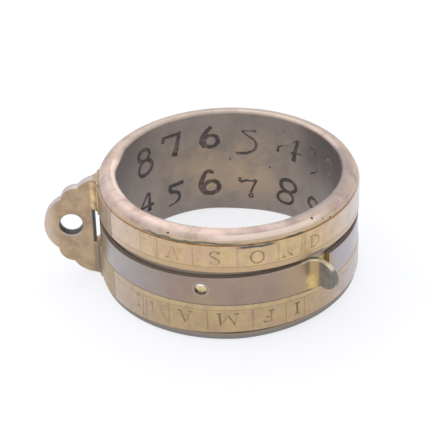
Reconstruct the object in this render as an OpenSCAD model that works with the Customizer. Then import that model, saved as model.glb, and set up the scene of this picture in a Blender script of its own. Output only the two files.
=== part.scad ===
// Ring dial: a brass pocket sundial with a sliding pinhole collar.
// The hoop stands on its base lip, its axis is Z, and the hanging lug points along -X.

/* [Hoop] */
// Diameter of the bore that carries the hour numerals
bore_d = 34.5; // [28:0.1:44]
// Thickness of the hoop's wall under the strips and the collar
wall_t = 1.7; // [1.2:0.05:3]
// How far the two lips stand out from the seat of the strips
lip_proud = 0.8; // [0.5:0.05:1.2]
// Height of the lip at the base
base_lip_h = 1.45; // [1.2:0.05:3]
// Height of the lip at the top
top_lip_h = 1.65; // [1.5:0.05:2.2]
// Radius of the rim from its crest down to the lip
dome_r = 1.85; // [1.8:0.05:2.5]
// Radius of the rim from its crest down to the bore
rim_round = 0.6; // [0.3:0.05:0.8]
// Width of the worn flat along the crest
crest_w = 0.1; // [0.05:0.01:0.3]
// Rounding of the lip's edge at the base
base_round = 0.6; // [0.3:0.05:1.1]
// Rounding of the bore's edge at the base
bore_round = 0.3; // [0.1:0.05:0.45]
// Height of the light slot through the wall
slot_h = 2.2; // [1:0.1:3]
// How far the slot runs on past each end of the calendar, in degrees
slot_over = 4; // [1:0.5:10]

/* [Month strips] */
// Height of the lower strip
lower_strip_h = 4.85; // [3.5:0.05:7]
// Height of the upper strip
upper_strip_h = 4.65; // [3.5:0.05:7]
// Thickness of both strips
strip_t = 1.03; // [0.9:0.01:1.6]
// Solder film between the hoop and what is soldered to it
solder = 0.02; // [0.01:0.01:0.05]
// Open seam between a strip and its lip
seam = 0.12; // [0.05:0.01:0.3]
// Bevel along the edges of the strips
strip_bevel = 0.12; // [0.05:0.01:0.25]
// Distance of the upper border line from the groove
upper_border = 0.95; // [0.6:0.05:1.5]
// Distance of the lower border line from the groove
lower_border = 0.8; // [0.6:0.05:1.5]
// Width of the border lines and of the month lines
line_w = 0.2; // [0.1:0.01:0.4]
// Depth of the border lines and of the month lines
line_depth = 0.12; // [0.05:0.01:0.25]
// Degrees along the strip for one degree of the sun's declination
scale_gain = 1.6; // [1:0.02:2]
// Place of the equinox on the upper strip, in degrees from the front
upper_equinox = -3.5; // [-10:0.1:10]
// Place of the equinox on the lower strip, in degrees from the front
lower_equinox = -3.8; // [-10:0.1:10]

/* [Collar] */
// Height of the groove that the collar slides in
groove_h = 5.8; // [4:0.1:9]
// Play of the collar along the axis
collar_play = 1.1; // [0.3:0.05:2]
// Where the collar stands in its play, from the bottom up, as a share
collar_lift = 0.15; // [0.1:0.05:0.4]
// Thickness of the collar's strip
collar_t = 0.55; // [0.4:0.01:0.9]
// Radial clearance between the collar and the hoop
collar_clear = 0.06; // [0.03:0.01:0.1]
// Diameter of the pinhole
pinhole_d = 1.85; // [0.6:0.05:2]
// Place of the pinhole, in degrees from the front
pinhole_turn = -12.2; // [-35:0.1:25]
// Place of the thumb tab, in degrees from the front
tab_turn = 40; // [35:0.5:60]
// How far the thumb tab stands out from the collar
tab_reach = 4.6; // [3.4:0.05:6]
// Radius of the bend at the root of the tab
tab_bend_r = 1.4; // [0.8:0.05:2]
// Gap between the tab and the collar's other end
end_gap = 2.25; // [0.3:0.05:3]

/* [Lug] */
// Diameter of the hanging eye
eye_d = 3.5; // [2:0.1:5]
// Distance of the eye's centre from the face of the strips
eye_out = 4.3; // [3.6:0.1:6]
// Radius of the lobe round the eye
eye_lobe_r = 5.15; // [4.5:0.05:5.6]
// How far that lobe's centre lies behind the eye
eye_lobe_in = 1; // [0.5:0.05:1.5]
// Radius of the middle lobes
mid_lobe_r = 2.5; // [2.2:0.05:3]
// How far the middle lobes lie behind the eye
mid_lobe_in = 0.7; // [0.4:0.05:1.2]
// How far the middle lobes lie to each side of the eye
mid_lobe_side = 4.05; // [3.6:0.05:4.5]
// Radius of the lobes at the root
root_lobe_r = 4.2; // [3.8:0.05:4.6]
// How far the lobes at the root lie behind the eye
root_lobe_in = 4.2; // [3.8:0.05:4.6]
// Setback of the lug's root from the ends of the hoop
root_setback = 0.8; // [0.7:0.05:1.5]
// How far the lug sits below the middle of the hoop
lug_drop = 0.2; // [0:0.05:0.5]
// Lean of the lug's outline towards the top, in degrees
lug_lean = 5; // [0:0.5:6]
// Thickness of the lug
lug_t = 1.4; // [1.2:0.1:3]
// Width of the lug's root where it meets its feet
root_w = 4.4; // [3.6:0.1:6]
// Radius of the hollow between the lug's face and its root
flare_r = 1.2; // [0.8:0.05:1.6]
// Half of the arc that the feet cover, in degrees
foot_turn = 28.5; // [15:0.5:35]
// Room between the collar and the lug's window
window_room = 1.05; // [0.4:0.05:1.5]
// How far the window lies below the groove
window_drop = 0.5; // [0:0.05:0.6]

/* [Hidden] */
$fn = 180;

// Radii from the bore outwards
bore_r = bore_d / 2;
seat_r = bore_r + wall_t;
lip_r = seat_r + lip_proud;
strip_in_r = seat_r + solder;
strip_r = strip_in_r + strip_t;
collar_in_r = seat_r + collar_clear;
collar_r = collar_in_r + collar_t;
window_r = collar_r + window_room;

// Levels from the base upwards
groove_z = base_lip_h + lower_strip_h;
upper_z = groove_z + groove_h;
top_lip_z = upper_z + upper_strip_h;
hoop_h = top_lip_z + top_lip_h;
lug_mid_z = hoop_h / 2 - lug_drop;
collar_h = groove_h - collar_play;
collar_z = groove_z + collar_lift * collar_play;
light_z = collar_z + collar_h / 2;

// The outer edge of the flat along the rim's crest
crest_r = bore_r + rim_round + crest_w;

// The eye and the hoop's front, as angles from +X
eye_r = strip_r + eye_out;
front = -90;
lug_turn = 180;

// The sun's declination through the year places the month lines
obliquity = 23.44;
year_days = 365;
equinox_day = 80;
month_days = [31, 28, 31, 30, 31, 30, 31, 31, 30, 31, 30, 31];
function days_before(month) = month == 0 ? 0 : days_before(month - 1) + month_days[month - 1];
function declination(day) = asin(sin(obliquity) * sin(360 * (day - equinox_day) / year_days));
function month_turn(month, equinox) = equinox - scale_gain * declination(days_before(month));

// Small excess that lets a cut run past the face it cuts
over = 1;
// Small step that keeps a curve from lying exactly along a flat
ease = 0.01;

// A square that reaches from one radius to another, and from one level to another
module section(r0, r1, z0, z1) {
    translate([r0, z0]) square([r1 - r0, z1 - z0]);
}

// What a rounded corner takes away, with the corner at the origin and the metal at +X +Y
module corner_waste(r) {
    difference() {
        translate([-over, -over]) square(r + over);
        translate([r, r]) circle(r);
    }
}

// A ring section swept from one angle to another
module sweep(turn0, turn1) {
    rotate([0, 0, turn0]) rotate_extrude(angle = turn1 - turn0) children();
}

module hoop_section() {
    difference() {
        union() {
            section(bore_r, seat_r, 0, top_lip_z);
            section(bore_r, lip_r, 0, base_lip_h);
            section(bore_r, crest_r, top_lip_z, hoop_h);
            intersection() {
                section(crest_r - crest_w / 2, lip_r, top_lip_z, hoop_h);
                translate([crest_r, hoop_h - dome_r]) circle(dome_r);
            }
        }
        translate([bore_r, hoop_h]) mirror([0, 1]) corner_waste(rim_round);
        translate([bore_r, 0]) corner_waste(bore_round);
        translate([lip_r, 0]) mirror([1, 0]) corner_waste(base_round);
    }
}

// The slot follows the calendar, with round ends
module light_slot() {
    reach = scale_gain * obliquity + slot_over;
    turn0 = front + (upper_equinox + lower_equinox) / 2 - reach;
    turn1 = turn0 + 2 * reach;
    sweep(turn0, turn1)
        section(bore_r - over, seat_r + over, light_z - slot_h / 2, light_z + slot_h / 2);
    for (turn = [turn0, turn1])
        rotate([0, 0, turn])
            translate([bore_r - over / 2, 0, light_z])
                rotate([0, 90, 0]) cylinder(h = wall_t + over, d = slot_h - 2 * ease);
}

module hour_hoop() {
    color("rosybrown")
        difference() {
            rotate_extrude() hoop_section();
            light_slot();
        }
}

// A strip's section from z0 to z1, with bevels on its outer edges
module strip_section(z0, z1) {
    b = strip_bevel;
    polygon([
        [strip_in_r, z0], [strip_r - b, z0], [strip_r, z0 + b],
        [strip_r, z1 - b], [strip_r - b, z1], [strip_in_r, z1]
    ]);
}

// A scribed line round the strip at one level
module border_line(z) {
    polygon([
        [strip_r + line_depth, z - line_w],
        [strip_r - line_depth, z],
        [strip_r + line_depth, z + line_w]
    ]);
}

// A scribed line across the strip from z0 to z1
module month_line(turn, z0, z1) {
    rotate([0, 0, front + turn])
        translate([strip_r - line_depth, -line_w / 2, z0])
            cube([line_depth + over, line_w, z1 - z0]);
}

// A strip from one foot of the lug round to the other, with its border line
module bare_strip(z0, z1, border_z) {
    end = asin(seam / strip_r);
    sweep(lug_turn + foot_turn + end, lug_turn + 360 - foot_turn - end)
        difference() {
            strip_section(z0, z1);
            border_line(border_z);
        }
}

module upper_month_strip() {
    border_z = upper_z + upper_border;
    color("burlywood")
        difference() {
            bare_strip(upper_z, top_lip_z - seam, border_z);
            for (month = [6 : 12])
                month_line(month_turn(month, upper_equinox), border_z, top_lip_z + over);
        }
}

module lower_month_strip() {
    border_z = groove_z - lower_border;
    color("burlywood")
        difference() {
            bare_strip(base_lip_h + seam, groove_z, border_z);
            for (month = [0 : 6])
                month_line(month_turn(month, lower_equinox), base_lip_h - over, border_z);
        }
}

// The lug's scalloped outline, with its root at the hoop
module lug_outline() {
    root_side = hoop_h / 2 - root_setback - root_lobe_r;
    translate([-eye_r, lug_mid_z])
        rotate(-lug_lean) {
            translate([eye_lobe_in, 0]) circle(eye_lobe_r);
            for (side = [-1, 1]) {
                translate([mid_lobe_in, side * mid_lobe_side]) circle(mid_lobe_r);
                translate([root_lobe_in, side * root_side]) circle(root_lobe_r);
            }
        }
}

// The outline as a plate of one thickness, upright in the plane of the axis
module lug_plate(t) {
    translate([0, t / 2, 0]) rotate([90, 0, 0]) linear_extrude(t) lug_outline();
}

// The plan of the root, which widens in two hollows towards the feet
module root_plan() {
    flare_x = -(strip_r + flare_r);
    difference() {
        translate([flare_x, -root_w / 2]) square([flare_r + strip_t + over, root_w]);
        for (side = [-1, 1])
            translate([flare_x, side * (lug_t / 2 + flare_r)]) circle(flare_r);
    }
}

module lug_foot(z0, z1) {
    sweep(lug_turn - foot_turn, lug_turn + foot_turn) strip_section(z0, z1);
}

module suspension_lug() {
    color("tan")
        difference() {
            union() {
                difference() {
                    union() {
                        lug_plate(lug_t);
                        intersection() {
                            lug_plate(root_w + 2 * over);
                            linear_extrude(hoop_h) root_plan();
                        }
                    }
                    cylinder(h = hoop_h, r = lip_r + solder);
                    translate([0, 0, groove_z - window_drop]) cylinder(h = groove_h, r = window_r);
                }
                lug_foot(upper_z, top_lip_z - seam);
                lug_foot(base_lip_h + seam, groove_z);
            }
            translate([-eye_r, root_w, lug_mid_z]) rotate([90, 0, 0]) cylinder(h = 2 * root_w, d = eye_d);
        }
}

// The collar's plan with its tab along +X: a ring cut open, whose end bends out into a leaf
module collar_plan() {
    leaf_y = collar_t / 2;
    bend_y = -(leaf_y + tab_bend_r);
    bend_x = sqrt(pow(collar_r + tab_bend_r, 2) - pow(bend_y, 2));
    tip_x = collar_r + tab_reach;
    difference() {
        union() {
            circle(collar_r);
            translate([0, -leaf_y]) square([tip_x, collar_t]);
            translate([0, bend_y]) square([bend_x, tab_bend_r + leaf_y]);
        }
        circle(collar_in_r);
        translate([bend_x, bend_y]) circle(tab_bend_r + ease);
        translate([collar_in_r - over, leaf_y]) square([collar_t + 2 * over, end_gap]);
        difference() {
            translate([collar_in_r - over, bend_y])
                square([bend_x - collar_in_r + over, leaf_y + end_gap / 2 - bend_y]);
            translate([bend_x, bend_y]) circle(tab_bend_r + collar_t - ease);
        }
    }
}

// What rounding the tab's end takes away
module tab_end_waste() {
    tip_r = collar_h / 2;
    tip_x = collar_r + tab_reach - tip_r;
    translate([0, collar_t, 0])
        rotate([90, 0, 0])
            linear_extrude(2 * collar_t)
                difference() {
                    translate([tip_x, -over]) square([tip_r + over, collar_h + 2 * over]);
                    translate([tip_x, tip_r]) circle(tip_r + ease);
                }
}

module sliding_collar() {
    color("dimgray")
        difference() {
            translate([0, 0, collar_z])
                rotate([0, 0, front + tab_turn])
                    difference() {
                        linear_extrude(collar_h) collar_plan();
                        tab_end_waste();
                    }
            rotate([0, 0, front + pinhole_turn])
                translate([collar_in_r - over, 0, light_z])
                    rotate([0, 90, 0]) cylinder(h = collar_t + 2 * over, d = pinhole_d);
        }
}

hour_hoop();
upper_month_strip();
lower_month_strip();
suspension_lug();
sliding_collar();
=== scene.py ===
from math import atan2, cos, degrees, pi, radians, sin, sqrt

import bmesh
import bpy
from mathutils import Matrix, Vector, noise


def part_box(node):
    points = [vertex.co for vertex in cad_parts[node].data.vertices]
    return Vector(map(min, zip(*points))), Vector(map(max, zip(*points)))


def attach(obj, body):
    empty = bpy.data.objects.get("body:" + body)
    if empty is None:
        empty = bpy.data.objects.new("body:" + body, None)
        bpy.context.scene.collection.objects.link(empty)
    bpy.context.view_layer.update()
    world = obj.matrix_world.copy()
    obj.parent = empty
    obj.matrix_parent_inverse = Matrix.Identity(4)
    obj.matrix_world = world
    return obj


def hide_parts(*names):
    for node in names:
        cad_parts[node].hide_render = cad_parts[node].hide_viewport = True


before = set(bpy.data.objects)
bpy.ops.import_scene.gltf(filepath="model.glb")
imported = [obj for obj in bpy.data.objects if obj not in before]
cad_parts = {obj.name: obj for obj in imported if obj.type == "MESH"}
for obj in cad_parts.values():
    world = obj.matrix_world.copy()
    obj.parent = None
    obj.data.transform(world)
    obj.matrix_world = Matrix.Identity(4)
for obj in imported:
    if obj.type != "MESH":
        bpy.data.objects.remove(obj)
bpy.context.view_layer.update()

mm = 0.001
weld = 0.002 * mm  # points nearer than this are made one
slack = 0.1  # mm, for telling by its place what a point belongs to
frontTurn = radians(-90)  # the front of the dial, as an angle from +X


# Sizes that the frame gives

def spread(node):  # nearest and farthest distance of a node from the hoop's axis, in mm
    reach = [v.co.xy.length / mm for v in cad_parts[node].data.vertices]
    return min(reach), max(reach)


def levels(node):  # lowest and highest level of a node, in mm
    low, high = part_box(node)
    return low.z / mm, high.z / mm


boreR, lipR = spread("hour_hoop")
stripIn, stripR = spread("upper_month_strip")
collarIn, tabTip = spread("sliding_collar")
hoopLow, hoopHigh = levels("hour_hoop")
upperLow, upperHigh = levels("upper_month_strip")
lowerLow, lowerHigh = levels("lower_month_strip")
collarLow, collarHigh = levels("sliding_collar")
eyeX, eyeZ, eyeR = -24.3, 9.0, 1.75  # the lug's eye
lightZ = (collarLow + collarHigh) / 2  # level of the pinhole and of the slot behind it
print("frame: bore", round(2 * boreR, 2), "mm, height", round(hoopHigh - hoopLow, 2), "mm")


# Mesh helpers

def makeObject(name, shape):
    mesh = bpy.data.meshes.new(name)
    shape.to_mesh(mesh)
    shape.free()
    piece = bpy.data.objects.new(name, mesh)
    bpy.context.scene.collection.objects.link(piece)
    return piece


def outlineFace(shape, corners):  # a section in the plane of the axis, from (radius, level) pairs in mm
    verts = [shape.verts.new((r * mm, 0, z * mm)) for r, z in corners]
    shape.faces.new(verts)
    return verts


def roundCorners(shape, verts, radius, segments):
    bmesh.ops.bevel(shape, geom=verts, offset=radius * mm, affect="VERTICES",
                    segments=segments, profile=0.5, material=-1)


def splitLongEdges(shape, longest):
    for edge in list(shape.edges):
        cuts = int(edge.calc_length() / (longest * mm))
        if cuts:
            bmesh.ops.subdivide_edges(shape, edges=[edge], cuts=cuts)


def spinSection(shape, start, turn, steps, patches=20):
    # a short patch is spun and then repeated round the axis, which is much faster than one long spin
    bmesh.ops.delete(shape, geom=list(shape.faces), context="FACES_ONLY")
    bmesh.ops.rotate(shape, verts=list(shape.verts), cent=(0, 0, 0), matrix=Matrix.Rotation(start, 3, "Z"))
    bmesh.ops.spin(shape, geom=list(shape.verts) + list(shape.edges), cent=(0, 0, 0), axis=(0, 0, 1),
                   angle=turn / patches, steps=steps // patches, use_merge=False)
    bmesh.ops.spin(shape, geom=list(shape.verts) + list(shape.edges) + list(shape.faces), cent=(0, 0, 0),
                   axis=(0, 0, 1), angle=turn - turn / patches, steps=patches - 1, use_duplicate=True)
    bmesh.ops.remove_doubles(shape, verts=list(shape.verts), dist=weld)


def closeShape(shape):
    bmesh.ops.holes_fill(shape, edges=[e for e in shape.edges if e.is_boundary], sides=0)
    bmesh.ops.recalc_face_normals(shape, faces=list(shape.faces))


def portion(value, low, high):  # 0 at low, 1 at high, straight between
    return min(1, max(0, (value - low) / (high - low)))


def easeBetween(value, low, high):  # 0 at low, 1 at high, smooth between
    share = portion(value, low, high)
    return share * share * (3 - 2 * share)


def smoothFaces(piece, sharpest=32):
    for face in piece.data.polygons:
        face.use_smooth = True
    piece.data.set_sharp_from_angle(angle=radians(sharpest))


# Cutters for engraved and punched marks: tubes that follow a stroke and wrap round the hoop

def strokeTube(points, closed=False, smooth=True):  # points hold x, y and half width, in mm
    curve = bpy.data.curves.new("stroke", "CURVE")
    curve.dimensions = "3D"
    curve.bevel_depth = 1
    curve.bevel_resolution = 3
    curve.resolution_u = 8
    curve.use_fill_caps = not closed
    line = curve.splines.new("BEZIER")
    line.bezier_points.add(len(points) - 1)
    line.use_cyclic_u = closed
    for knot, (x, y, width) in zip(line.bezier_points, points):
        knot.co = (x, y, 0)
        knot.radius = width
        knot.handle_left_type = knot.handle_right_type = "AUTO" if smooth else "VECTOR"
    holder = bpy.data.objects.new("stroke", curve)
    mesh = bpy.data.meshes.new_from_object(holder)
    bpy.data.objects.remove(holder)
    bpy.data.curves.remove(curve)
    shape = bmesh.new()
    shape.from_mesh(mesh)
    bpy.data.meshes.remove(mesh)
    bmesh.ops.remove_doubles(shape, verts=list(shape.verts), dist=1e-5)
    bmesh.ops.recalc_face_normals(shape, faces=list(shape.faces))
    return shape


def wrapShape(shape, radius, turn, level, depth, lift=(0, 0, 0), spun=1):
    # depth scales the cut; lift raises the tool out of the metal, plain and along x and y; spun -1 is upside down
    for vert in shape.verts:
        x, y, h = vert.co
        out = radius + h * depth + lift[0] + lift[1] * x + lift[2] * y
        angle = frontTurn + turn + spun * x / radius
        vert.co = (out * cos(angle) * mm, out * sin(angle) * mm, (level + spun * y) * mm)
    if shape.calc_volume(signed=True) < 0:
        bmesh.ops.reverse_faces(shape, faces=list(shape.faces))
    return makeObject("cutter", shape)


def roughen(shape, amount, broad=1.7, fine=4):  # a hand-cut stroke's edge wanders, in broad and fine waves
    for vert in shape.verts:
        wander = noise.noise_vector(vert.co * broad) + noise.noise_vector(vert.co * fine) / 2
        vert.co += Vector((wander.x, wander.y, 0)) * amount


def cutAway(piece, cutters):
    group = bpy.data.collections.new("cutters")
    bpy.context.scene.collection.children.link(group)
    for cutter in cutters:
        bpy.context.scene.collection.objects.unlink(cutter)
        group.objects.link(cutter)
    cut = piece.modifiers.new("cut", "BOOLEAN")
    cut.operation = "DIFFERENCE"
    cut.operand_type = "COLLECTION"
    cut.collection = group
    cut.solver = "MANIFOLD"
    bpy.context.view_layer.update()
    result = bpy.data.meshes.new_from_object(piece.evaluated_get(bpy.context.evaluated_depsgraph_get()))
    piece.modifiers.clear()
    piece.data = result
    for cutter in cutters:
        bpy.data.objects.remove(cutter)
    bpy.data.collections.remove(group)


# Numerals and letters, drawn for this dial: strokes in a box one high, as (x, y, half width) and how they run

bold, plain, fine = 0.085, 0.06, 0.038
glyphs = {
    "I": [("line", [(0, 0, fine), (0, 1, fine)]), ("line", [(-0.16, 0.03, plain), (0.16, 0.03, plain)]),
          ("line", [(-0.16, 0.97, plain), (0.16, 0.97, plain)])],
    "I heavy": [("line", [(0, 0, bold), (0, 1, bold)]), ("line", [(-0.22, 0.03, plain), (0.22, 0.03, plain)]),
                ("line", [(-0.22, 0.97, plain), (0.22, 0.97, plain)])],
    "A": [("line", [(-0.42, 0, fine), (0, 1, fine)]), ("line", [(0.42, 0, plain), (0, 1, plain)]),
          ("line", [(-0.22, 0.36, fine), (0.24, 0.36, fine)]), ("line", [(0.26, 0.02, plain), (0.6, 0.02, plain)]),
          ("line", [(-0.6, 0.02, plain), (-0.28, 0.02, plain)])],
    "S": [("line", [(0.26, 0.98, bold), (0.27, 0.78, plain)]),
          ("curve", [(0.26, 0.84, plain), (0.02, 0.98, fine), (-0.26, 0.76, plain), (0.0, 0.52, plain),
                     (0.28, 0.26, plain), (-0.02, 0.02, fine), (-0.3, 0.22, plain)])],
    "O": [("ring", [(0.45, 0.5, plain), (0, 0.97, plain), (-0.45, 0.5, plain), (0, 0.03, plain)])],
    "N": [("line", [(-0.36, 0, fine), (-0.36, 1, fine)]), ("line", [(-0.38, 1, fine), (0.36, 0, plain)]),
          ("line", [(0.36, 0, fine), (0.36, 1, fine)]), ("line", [(-0.54, 0.03, plain), (-0.18, 0.03, plain)]),
          ("line", [(0.2, 0.97, fine), (0.5, 0.97, fine)]), ("line", [(0.3, 0.05, plain), (0.42, 0.05, plain)])],
    "D": [("line", [(-0.3, 0, plain), (-0.3, 1, plain)]),
          ("curve", [(-0.46, 0.97, plain), (0.06, 0.94, plain), (0.42, 0.5, plain), (0.06, 0.05, plain),
                     (-0.46, 0.03, plain)])],
    "F": [("line", [(-0.22, 0, plain), (-0.22, 1, fine)]), ("line", [(-0.36, 0.97, fine), (0.34, 0.97, plain)]),
          ("line", [(-0.22, 0.54, fine), (0.18, 0.54, plain)]), ("line", [(-0.42, 0.03, plain), (0, 0.03, plain)]),
          ("line", [(0.34, 1.0, plain), (0.36, 0.8, fine)])],
    "M": [("line", [(-0.6, 0, fine), (-0.5, 1, fine)]), ("line", [(-0.52, 1, plain), (0, 0.15, plain)]),
          ("line", [(0, 0.15, fine), (0.52, 1, fine)]), ("line", [(0.6, 0, bold), (0.52, 1, plain)]),
          ("line", [(0.44, 0.03, plain), (0.8, 0.03, plain)]), ("line", [(-0.8, 0.03, plain), (-0.44, 0.03, plain)])],
    "tick": [("line", [(-0.06, 0, fine), (0.06, 1, plain)])],
}


def markTubes(strokes, size):  # size is the height in mm
    for run, points in strokes:
        sized = [(x * size, (y - 0.5) * size, width * size) for x, y, width in points]
        yield strokeTube(sized, closed=run == "ring", smooth=run != "line")


# Hour hoop: the numerals are cut in the bore, opposite the light slot

hourHoop = {
    "solder": 0.02,  # film between the seat and the strips
    "domeR": 1.85,
    "rimRound": 0.6,
    "crestW": 0.1,
    "domeSteps": 16,
    "rimSteps": 7,
    "scribe": (17.5, 0.05, 0.04),  # level, half width and depth of the fine line round the rim
    "baseRound": 0.6,
    "boreRound": 0.3,
    "lipRound": 0.16,  # worn edge of the base lip
    "baseLip": 1.45,
    "seam": 0.012,  # between the upper strip and the top lip
    "seamRound": 0.04,
    "steps": 540,
    "longest": 0.8,
    "slotHigh": 2.2,
    "slotDepth": 4,  # right through the wall
    "slotFrom": -45.15,  # degrees from the front
    "slotTo": 37.85,
    "numeralDepth": 0.6,  # of a stroke's half width
    "numeralRough": 0.09,  # how far a stroke's edge wanders
}
# Hour numerals as they are cut: degrees from the back's middle, foot, height, strokes
hourMarks = [
    (-49.4, 10.3, 4.9, [("ring", [(0.24, 0.78, 0.06), (-0.03, 0.97, 0.07), (-0.29, 0.8, 0.075), (0, 0.57, 0.06)]),
                        ("ring", [(0.33, 0.29, 0.075), (0, 0.03, 0.07), (-0.29, 0.22, 0.065), (0, 0.56, 0.07)])]),
    (-31, 11.4, 4.33, [("line", [(-0.37, 0.73, 0.075), (-0.33, 0.94, 0.085), (0.28, 0.93, 0.07)]),
                       ("curve", [(0.36, 1.03, 0.05), (0.24, 0.54, 0.095), (0.1, 0.04, 0.13)])]),
    (-9.5, 11.7, 4.17, [("curve", [(0.1, 0.96, 0.08), (-0.16, 0.68, 0.096), (-0.3, 0.36, 0.1), (-0.16, 0.08, 0.09)]),
                        ("ring", [(0.34, 0.32, 0.09), (0.08, 0.58, 0.08), (-0.22, 0.32, 0.09), (0.04, 0.08, 0.09)])]),
    (9.9, 10.4, 4.67, [("line", [(-0.13, 0.94, 0.036), (0.38, 0.96, 0.04)]),
                       ("curve", [(-0.13, 0.94, 0.035), (0.09, 0.76, 0.04), (0.34, 0.56, 0.05), (0.36, 0.31, 0.055),
                                  (0.11, 0.1, 0.055), (-0.35, 0.05, 0.06)])]),
    (35, 10.8, 4.33, [("line", [(-0.48, 0.25, 0.06), (-0.46, 0.46, 0.045), (0.385, 0.94, 0.05)]),
                      ("curve", [(0.41, 0.95, 0.06), (0.28, 0.5, 0.08), (0.18, 0.02, 0.1)]),
                      ("line", [(0.08, 0.36, 0.05), (0.56, 0.42, 0.07)]),
                      ("line", [(-0.49, -0.08, 0.045), (-0.46, -0.08, 0.045)])]),
    (53, 10, 4.7, [("curve", [(-0.25, 0.97, 0.025), (0.07, 0.97, 0.03), (0.02, 0.93, 0.03), (0.25, 0.5, 0.035),
                              (0.07, 0.2, 0.035), (-0.21, 0, 0.03)])]),
    (66, 10.8, 4.2, [("curve", [(-0.24, 0.72, 0.03), (0, 0.98, 0.03), (0.22, 0.74, 0.03), (-0.24, 0.06, 0.03)]),
                     ("line", [(-0.24, 0.05, 0.03), (0.28, 0.05, 0.03)])]),
    (-49, 3.4, 3.6, [("line", [(0.1, 1, 0.08), (-0.42, 0.36, 0.12), (0.4, 0.3, 0.1)]),
                     ("line", [(0.16, 0.98, 0.08), (0.12, 0.02, 0.13)])]),
    (-29.5, 2.6, 4, [("line", [(-0.32, 0.9, 0.09), (0.36, 0.96, 0.1)]),
                     ("curve", [(-0.28, 0.875, 0.08), (-0.225, 0.67, 0.085), (0.08, 0.54, 0.08), (0.17, 0.31, 0.07),
                                (-0.04, 0.08, 0.05), (-0.36, 0.02, 0.04)])]),
    (-9.8, 3, 4.67, [("curve", [(0.14, 0.88, 0.06), (-0.06, 0.97, 0.08), (-0.24, 0.74, 0.085), (-0.31, 0.36, 0.09),
                                (-0.13, 0.07, 0.085)]),
                     ("ring", [(0.32, 0.32, 0.085), (0.09, 0.56, 0.08), (-0.24, 0.32, 0.088), (0.05, 0.07, 0.085)])]),
    (10.9, 2.5, 4, [("line", [(-0.33, 0.92, 0.06), (-0.31, 0.7, 0.08)]),
                    ("curve", [(-0.3, 0.69, 0.06), (-0.1, 0.77, 0.055), (0.1, 0.76, 0.045), (0.36, 0.81, 0.055)]),
                    ("curve", [(0.36, 0.83, 0.05), (0.23, 0.54, 0.05), (0.11, 0.21, 0.055)]),
                    ("ring", [(0.2, 0.075, 0.045), (0.12, 0.15, 0.045), (0.04, 0.075, 0.045), (0.12, 0, 0.045)])]),
    (33.7, 2.4, 4.83, [("ring", [(0.345, 0.72, 0.065), (0.03, 0.97, 0.075), (-0.24, 0.77, 0.075), (0, 0.52, 0.065)]),
                       ("ring", [(0.22, 0.24, 0.055), (-0.07, 0.03, 0.06), (-0.36, 0.21, 0.055), (-0.03, 0.5, 0.06)])]),
    (51.7, 1.9, 3.9, [("ring", [(0.28, 0.74, 0.075), (0, 0.97, 0.08), (-0.26, 0.72, 0.085), (0.02, 0.5, 0.075)]),
                      ("curve", [(0.28, 0.74, 0.07), (0.2, 0.3, 0.06), (-0.14, 0, 0.05)])]),
    (1.5, 9.3, 0.5, [("line", [(-0.2, 0.5, 0.4), (0.3, 0.4, 0.3)])]),  # dents of the punch
    (23.5, 8.4, 0.5, [("line", [(-0.2, 0.4, 0.4), (0.2, 0.6, 0.4)])]),
    (32, 15.7, 0.4, [("line", [(-0.2, 0.4, 0.4), (0.2, 0.6, 0.4)])]),
]


# The hand-made base isn't quite parallel to the rim: it thins to the right, and the lower strip's edge with it
baseTaper = {
    "from": 1,  # mm to the right of the axis
    "slope": 0.043,
    "stripSlope": 0.026,
    "fade": (2.2, 5.5),  # levels between which the taper dies out
}


def taperBase(shape, look, strip=False):
    low, high = look["fade"]
    for v in shape.verts:
        x = v.co.x / mm
        rise = look["stripSlope"] * x if strip else look["slope"] * max(0, x - look["from"])
        v.co.z += rise * portion(v.co.z / mm, high, low) * mm


# The bore isn't quite round either: its rim stands in at the left, and the edge of its base is worn at the back
outOfRound = {
    "rimIn": 0.26,
    "rimMid": -92,  # degrees from the front
    "rimHalf": 50,
    "rimSoft": 26,
    "rimLevels": (15.6, 17.6),  # where it begins and is whole
    "dentIn": 0.38,
    "dentMid": -101,
    "dentHalf": 15,
    "wearUp": 0.42,  # how far the base's edge is worn
    "wearDown": 0.021,  # takes back part of the taper
    "wearSide": (4, -6),  # mm to the right where the wear begins and is whole
    "wearBack": (2, 12),  # mm behind the axis
    "wearLevels": (1.4, 0.4),
    "reach": 18.5,  # radius at which all this dies out
    "whole": 0.2,  # from the bore's face, where it is whole
}


def wearBore(shape, look):
    for v in shape.verts:
        x, y, z = v.co / mm
        out = Vector((x, y)).length
        inner = easeBetween(out, look["reach"], boreR + look["whole"])
        turn = degrees(atan2(x, -y))
        rim = look["rimIn"] * easeBetween(abs(turn - look["rimMid"]), look["rimHalf"],
                                          look["rimHalf"] - look["rimSoft"])
        rim += look["dentIn"] * easeBetween(abs(turn - look["dentMid"]), look["dentHalf"], 0)
        inward = rim * inner * easeBetween(z, *look["rimLevels"]) / out
        behind = easeBetween(y, *look["wearBack"]) * inner * easeBetween(z, *look["wearLevels"])
        up = look["wearUp"] * easeBetween(x, *look["wearSide"])
        up -= look["wearDown"] * max(0, x - baseTaper["from"])
        v.co = Vector((x * (1 - inward), y * (1 - inward), z + up * behind)) * mm


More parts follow.
